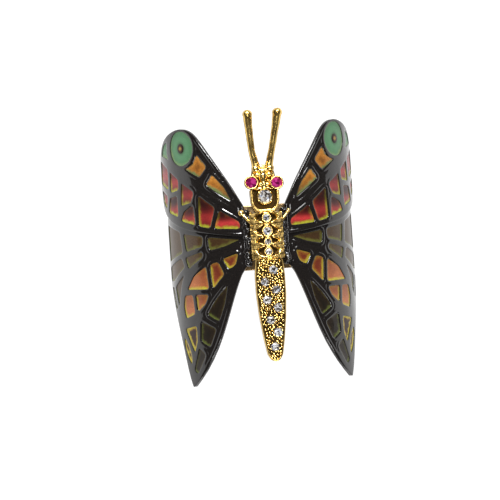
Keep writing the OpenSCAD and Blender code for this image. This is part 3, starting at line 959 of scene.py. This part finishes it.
def build_head_setting():
    (x, y, top, d), = stone_places("head_diamond")
    base = node_box("head_setting")[0][2]
    parts = [cup(x, y, d / 2 + 0.12, d / 2 - 0.05, base, top - 0.12, top - 1.1, 0.1)]
    claw_at = d / 2 + 0.02
    for angle in (-150, -40, 35, 140):
        across, along = math.cos(math.radians(angle)), math.sin(math.radians(angle))
        parts.append(ball((x + across * claw_at, y + along * claw_at, top - 0.1), (0.17, 0.17, 0.14), 2))
    gold_piece("head_setting_look", joined(parts), ["head_setting"], WIRE_GOLD, start=0.3)
    stone_piece("head_diamond", brilliant(x, y, top + 0.05, d, 0.2, (0.10, 0.12)), DIAMOND)


def build_eyes():
    for side in SIDES:
        (x, y, top, d), = stone_places(f"ruby_{side}")
        bezel = f"eye_bezel_{side}"
        base = node_box(bezel)[0][2]
        ring = cup(x, y, d / 2 + 0.19, d / 2 - 0.03, base, top - 0.04, top - 1.0, 0.10)
        gold_piece(f"{bezel}_look", ring, [bezel], WIRE_GOLD, start=0.3)
        turn = 0.5 if side == "left" else 0.1
        stone = brilliant(x, y, top, d, turn, (-0.12 * SIGN[side], -0.12))
        stone_piece(f"ruby_{side}", stone, RUBY)


ANTENNA_SCALE = 0.94          # the antennae are a little shorter than the CAD's


def build_antennae():
    for side in SIDES:
        node = f"antenna_{side}"
        foot = node_box(node)[0][1]
        line = islands(node)[0]
        high = line.max(0)
        end = line[line[:, 1] > high[1] - 0.9]
        middle = (end.min(0) + end.max(0)) / 2
        knob = ball((middle[0], high[1] - 0.5, middle[2] + 0.02), (0.56, 0.52, 0.54))
        socket = ball((SIGN[side] * 1.0, foot + 0.35, 16.05), (0.42, 0.8, 0.5))
        verts, faces = hammered(*fused([cad_mesh(node), knob, socket], 0.07, 5), 0.05, 0.8, 0.19)
        verts[:, 1] = foot + (verts[:, 1] - foot) * ANTENNA_SCALE
        gold_piece(f"{node}_look", (verts, faces), [node])


# ---------------------------------------------------------------- thorax

BARREL_R = 3.0
WINDOW_D = 0.40      # depth of the windows beside the stones, which are also painted dark as shade
WIRE_R = 0.15
RIDGE_EVERY = 0.78   # the sides of the barrel are ridged across, this far apart
# The wire on each side of the thorax: distance from the middle and Y, from the head end back. It runs
# out round each stone and in between the stones.
ZIGZAG = (
    (0.55, 4.92), (1.65, 4.62), (1.62, 3.75), (0.62, 3.22), (1.92, 2.35), (1.55, 1.68), (0.72, 1.32),
    (1.80, 0.92), (1.70, 0.42), (0.60, 0.06), (1.78, -0.5), (1.62, -1.12), (1.10, -1.55), (0.3, -1.72),
)


def barrel_z(x, top):
    """The height of the barrel's arched top."""
    return top - BARREL_R + np.sqrt(np.maximum(BARREL_R**2 - np.square(x), 0))


def barrel_section(low, high):
    """The barrel's cross-section: x, z, the outward direction's x and z, and 1 on the arched top."""
    axis = high[2] - BARREL_R
    half = high[0]
    widest = math.asin(half / BARREL_R)
    arc = np.linspace(-widest, widest, 121)
    wall_z = np.linspace(low[2], axis + BARREL_R * math.cos(widest), 22)[:-1]
    wall = np.ones(len(wall_z))
    x = np.concatenate([-half * wall, BARREL_R * np.sin(arc), half * wall])
    z = np.concatenate([wall_z, axis + BARREL_R * np.cos(arc), wall_z[::-1]])
    out_x = np.concatenate([-wall, np.sin(arc), wall])
    out_z = np.concatenate([0 * wall, np.cos(arc), 0 * wall])
    on_top = np.concatenate([0 * wall, np.ones(len(arc)), 0 * wall])
    return x, z, out_x, out_z, on_top


def barrel_relief(x, z, y, on_top, end, stones):
    """How far the barrel's surface is pushed out at one Y, and its painted shade. end is how near the end is.
    """
    zigzag = np.array(ZIGZAG)
    to_wire = distance(np.column_stack([abs(x), np.full(len(x), y)]), zigzag)
    reach = np.interp(-y, -zigzag[:, 1], zigzag[:, 0])
    window = np.clip((reach - abs(x)) / 0.12, 0, 1) * on_top * np.clip((to_wire - 0.1) / 0.1, 0, 1)
    window *= np.clip((abs(x) - 0.35) / 0.2, 0, 1)
    for x0, y0, _, d in stones:
        near = np.hypot(x - x0, y - y0) - d / 2 - 0.15
        window *= np.clip((near - 0.02) / 0.12, 0, 1)
    outside = np.clip((abs(x) - reach) / 0.2, 0, 1) * on_top
    shoulder = -0.30 * (1 - math.sqrt(1 - (1 - min(end / 0.30, 1)) ** 2))
    valley = 0.5 + 0.5 * math.sin(math.tau * y / RIDGE_EVERY + 0.6 * math.sin(2.3 * y))
    ridge = -(0.10 + 0.16 * valley) * np.clip((to_wire - 0.1) / 0.3, 0, 1) * outside
    places = [Vector(p) for p in zip(x, np.full(len(x), y), z)]
    rough = np.array([0.10 * noise.noise(p * 1.9) + 0.04 * noise.noise(p * 4.0) for p in places])
    push = shoulder - WINDOW_D * window + ridge + rough * (0.25 + 0.75 * outside)
    # painted shade: the barrel darkens down its sides in patches, in the valleys between its ridges and in
    # the windows
    shade_patch = 0.6 + 0.9 * np.array([noise.noise(Vector((each, y, 3)) * 1.6) for each in x])
    shaded = np.clip((abs(x) - 1.8) / 0.5, 0, 1) * np.clip(shade_patch, 0.3, 0.95)
    shaded = np.maximum(shaded, 0.9 * valley**2 * outside)
    return push, np.maximum(window, shaded)


def barrel():
    """The body of the thorax as (verts, faces), and its painted shade."""
    low, high = node_box("thorax")
    x, z, out_x, out_z, on_top = barrel_section(low, high)
    stations = np.linspace(low[1], high[1], 111)
    stones = stone_places("thorax_diamonds")
    verts, deep = [], []
    for y in stations:
        push, dark = barrel_relief(x, z, y, on_top, min(y - low[1], high[1] - y), stones)
        verts.append(np.column_stack([x + push * out_x, np.full(len(x), y), z + push * out_z]))
        deep.append(dark)
    n, rows = len(x), len(stations)
    faces = [
        (r * n + k, r * n + (k + 1) % n, (r + 1) * n + (k + 1) % n, (r + 1) * n + k)
        for r in range(rows - 1) for k in range(n)
    ]
    faces.append(tuple(reversed(range(n))))
    faces.append(tuple((rows - 1) * n + k for k in range(n)))
    return (np.vstack(verts), faces), np.concatenate(deep)


def build_thorax():
    body, deep = barrel()
    top = node_box("thorax")[1][2]
    zigzag = np.array(ZIGZAG)
    wires = []
    for side in (-1, 1):
        path = smooth_path(np.column_stack([zigzag * (side, 1), barrel_z(zigzag[:, 0], top)]), 6)
        path[:, 2] = barrel_z(path[:, 0], top) + 0.06
        wires.append(swept(path, WIRE_R + 0.02 * np.sin(np.arange(len(path)) * 0.9), 10))
    bright = np.zeros(sum(len(verts) for verts, _ in wires))
    gold_piece("thorax_look", joined([body, *wires]), ["thorax"], deep=np.concatenate([deep, bright]))


def build_thorax_settings():
    cups = [
        cup(x, y, d / 2 + 0.17, d / 2 - 0.04, top - 1.1, top - 0.04, top - 0.75, 0.09)
        for x, y, top, d in stone_places("thorax_diamonds")
    ]
    gold_piece("thorax_settings_look", joined(cups), ["thorax_settings"], WIRE_GOLD, start=0.3)


# ---------------------------------------------------------------- abdomen

RIM = 0.30           # width of the abdomen's plain border
CROWN_R = 4.5        # the top of the abdomen is arched across to this radius
SUNK = 0.26          # the field inside the border lies this much lower
GRAIN = 0.20         # radius of a gold granule
ABDOMEN_TOP = node_box("abdomen")[1][2]


def abdomen_crown(x):
    """The height of the abdomen's arched top."""
    return ABDOMEN_TOP - CROWN_R + np.sqrt(CROWN_R**2 - np.square(x))


def build_abdomen():
    """The tapering body with a rounded border round a sunk field. Returns its outline."""
    low = node_box("abdomen")[0]
    outline = even_loop(flat_loops("abdomen", low[2])[0], 0.12, 4)
    if area(outline) < 0:
        outline = outline[::-1]
    points, tris, borders = sheet(outline, [], (0.04, 0.09, 0.15, 0.21, 0.27, 0.33, 0.4), 0.2)
    gap = distance(points, borders[0], True)
    t = np.clip(gap / RIM, 0, 1)
    bead = 0.10 * np.sqrt(np.maximum(1 - (2 * t - 1) ** 2, 0)) - 0.06
    sunk = np.clip((gap - 0.8 * RIM) / (0.3 * RIM), 0, 1)
    height = abdomen_crown(points[:, 0]) + bead * (1 - sunk) - SUNK * sunk
    # painted shade: the sunk field round the granules and the underside are dark
    deep = np.concatenate([sunk, np.full(len(points), 0.9)])
    gold_piece("abdomen_look", shell(points, tris, height, low[2]), ["abdomen"], deep=deep)
    return outline, points


def granule_places(outline, points, rng):
    """(x, y, radius, rise) of the five beads round each stone and of the granules between them."""
    stones = np.array([(x, y, d) for x, y, _, d in stone_places("abdomen_diamonds")])
    beads = []
    for x, y, d in stones:
        turn = rng.random() * math.tau
        for k in range(5):
            a = turn + k * math.tau / 5 + rng.uniform(-0.15, 0.15)
            reach = d / 2 + 0.06
            beads.append((x + reach * math.cos(a), y + reach * math.sin(a), 0.16, 0.06))
    beads = [b for b in beads if distance(np.array([b[:2]]), outline, True)[0] > 0.2]
    tries = 9000
    spots = rng.uniform(points.min(0), points.max(0), (tries, 2))
    ok = inside(spots, outline) & (distance(spots, outline, True) > RIM + 0.06)
    for x, y in spots[ok]:
        r = GRAIN * rng.uniform(0.8, 1.12)
        if (np.hypot(stones[:, 0] - x, stones[:, 1] - y) < stones[:, 2] / 2 + 0.6 * r).any():
            continue
        if any(math.hypot(b[0] - x, b[1] - y) < 0.86 * (b[2] + r) for b in beads):
            continue
        beads.append((x, y, r, rng.uniform(-0.06, 0.03)))
    return beads


def build_granules(outline, points):
    rng = np.random.default_rng(11)
    grains = []
    for x, y, r, rise in granule_places(outline, points, rng):
        centre = (x, y, abdomen_crown(x) - 0.08 + rise)
        grains.append(ball(centre, (r * rng.uniform(0.9, 1.15), r, r * 0.95), 2))
    gold_piece("abdomen_granules", joined(grains), (), WIRE_GOLD, start=0.45)


# ---------------------------------------------------------------- roots, links and findings

def build_root(side, rng):
    """The black lumps that hold both wings of a side beside the thorax."""
    node = f"wing_root_{side}"
    low, high = node_box(node)
    parts = [cad_mesh(node)]
    for y in np.arange(low[1] + 0.4, high[1] - 0.2, 0.36):
        x = rng.uniform(2.3, 3.1)
        z = math.sqrt(FORE_R**2 - x * x) + ARCH_Z + rng.uniform(-0.25, 0.0)
        parts.append(ball((SIGN[side] * x, y, z), rng.uniform((0.40, 0.26, 0.34), (0.62, 0.42, 0.55)), 3))
    verts, faces = hammered(*fused(parts, 0.08, 4), 0.07, 1.3)
    new_piece(f"{node}_look", verts, faces, BLACK, "root", [node])


def build_link(side):
    """The wire from the thorax to the wing, whose ball end is large on the left and small on the right."""
    node = f"wing_link_{side}"
    sign = SIGN[side]
    low, high = node_box(node)
    bead = 0.48 if side == "left" else 0.28
    outer = high[0] if side == "right" else -low[0]
    start = np.array((sign * (outer - 0.42), high[1] - 0.42, high[2] - 0.30))
    end = np.array((sign * 2.2, 3.35, start[2] + 0.55))
    rod = swept(smooth_path([start, (start + end) / 2 + (0, 0, 0.12), end], 6), 0.2, 12)
    verts, faces = fused([ball(start, (bead, bead, bead)), rod], 0.05, 3)
    new_piece(f"{node}_look", verts, faces, WIRE_GOLD, "root", [node])


def softened(node, material, body, width):
    """The CAD's own shape with its edges broken."""
    bevel = {"width": width, "segments": 3, "limit_method": "ANGLE", "angle_limit": math.radians(40)}
    verts, faces = evaluated(*cad_mesh(node), ("BEVEL", bevel))
    new_piece(f"{node}_look", verts, faces, material, body, [node])


def build_findings():
    softened("bow_frame", SHADED_BOW_GOLD, "root", 0.12)
    softened("joint_bracket", SHADED_BOW_GOLD, "root", 0.08)
    softened("joint_rivet", PIN_GOLD, "root", 0.06)
    softened("catch_housing", SHADED_BOW_GOLD, "root", 0.06)
    softened("pin_stem", PIN_GOLD, "pin", 0.04)
    softened("catch_roller", PIN_GOLD, "roller", 0.05)


def build_body():
    build_head()
    build_collar()
    build_head_setting()
    build_eyes()
    build_antennae()
    build_thorax()
    build_thorax_settings()
    build_small_stones("thorax_diamonds")
    build_granules(*build_abdomen())
    build_small_stones("abdomen_diamonds")
    rng = np.random.default_rng(5)
    for side in SIDES:
        build_root(side, rng)
        build_link(side)
    build_findings()


build_body()


# ---------------------------------------------------------------- stage

MIDDLE = (0, 0, 0.01)         # what the lights aim at, in metres


def softbox(name, at, width, height, power):
    """A rectangular light, placed and sized in metres, aimed at the brooch."""
    light = bpy.data.lights.new(name, "AREA")
    light.shape = "RECTANGLE"
    light.size = width
    light.size_y = height
    light.energy = power
    lamp = bpy.data.objects.new(name, light)
    bpy.context.scene.collection.objects.link(lamp)
    lamp.location = at
    lamp.rotation_euler = (Vector(MIDDLE) - Vector(at)).to_track_quat("-Z", "Y").to_euler()
    return lamp


def glint(name, at, width, height, power):
    """A softbox that only shows in reflections."""
    softbox(name, at, width, height, power).visible_diffuse = False


def studio():
    scene = bpy.context.scene
    scene.view_settings.view_transform = "Standard"
    world = bpy.data.worlds.new("studio")
    scene.world = world
    world.use_nodes = True
    sky = world.node_tree.nodes["Background"].inputs
    sky["Color"].default_value = (1.0, 0.98, 0.96, 1)
    sky["Strength"].default_value = 0.12
    softbox("key", (-0.12, 0.45, 0.50), 0.30, 0.12, 3.3)
    softbox("side", (0.30, 0.38, 0.50), 0.12, 0.20, 0.9)
    softbox("low", (0.05, -0.50, 0.45), 0.40, 0.10, 1.1)
    softbox("top", (0.02, 0.06, 0.78), 0.16, 0.10, 0.7)
    glint("glint_back", (-0.05, 0.42, 0.50), 0.50, 0.06, 5.0)
    glint("glint_front", (0.05, -0.46, 0.50), 0.40, 0.05, 1.5)


def floor():
    """A plain white floor that glows faintly, so that no shadow dulls it."""
    mesh = bpy.data.meshes.new("floor")
    half = 3.0
    corners = [(-half, -half, 0), (half, -half, 0), (half, half, 0), (-half, half, 0)]
    mesh.from_pydata(corners, [], [(0, 1, 2, 3)])
    add, surface = shader("floor_white")
    mesh.materials.append(surface({
        "Base Color": ramp(add, grain(add, 0.02), [(0.3, (0.20, 0.20, 0.20)), (0.7, (0.22, 0.22, 0.22))]),
        "Roughness": 0.9,
        "Emission Color": (1, 1, 1, 1),
        "Emission Strength": 0.97,
    }))
    piece = bpy.data.objects.new("floor", mesh)
    bpy.context.scene.collection.objects.link(piece)


def camera():
    """Looks down on the brooch, turned a few degrees towards its right side and rolled a little."""
    yaw, roll = math.radians(3.5), math.radians(4)
    away = 0.6
    front = Vector((0, 1.25, 17.27))
    across = Vector((math.cos(yaw), 0, math.sin(yaw)))
    up = Vector((0, 1, 0))
    right = across * math.cos(roll) - up * math.sin(roll)
    top = across * math.sin(roll) + up * math.cos(roll)
    back = right.cross(top)
    centre = front - 2.625 * right - 1.95 * top
    data = bpy.data.cameras.new("camera")
    data.lens = 294
    data.sensor_width = 36
    data.clip_start = 0.01
    data.clip_end = 10
    eye = bpy.data.objects.new("camera", data)
    bpy.context.scene.collection.objects.link(eye)
    eye.location = centre * MM + back * away
    eye.rotation_euler = Matrix((right, top, back)).transposed().to_euler()
    bpy.context.scene.camera = eye


studio()
floor()
camera()
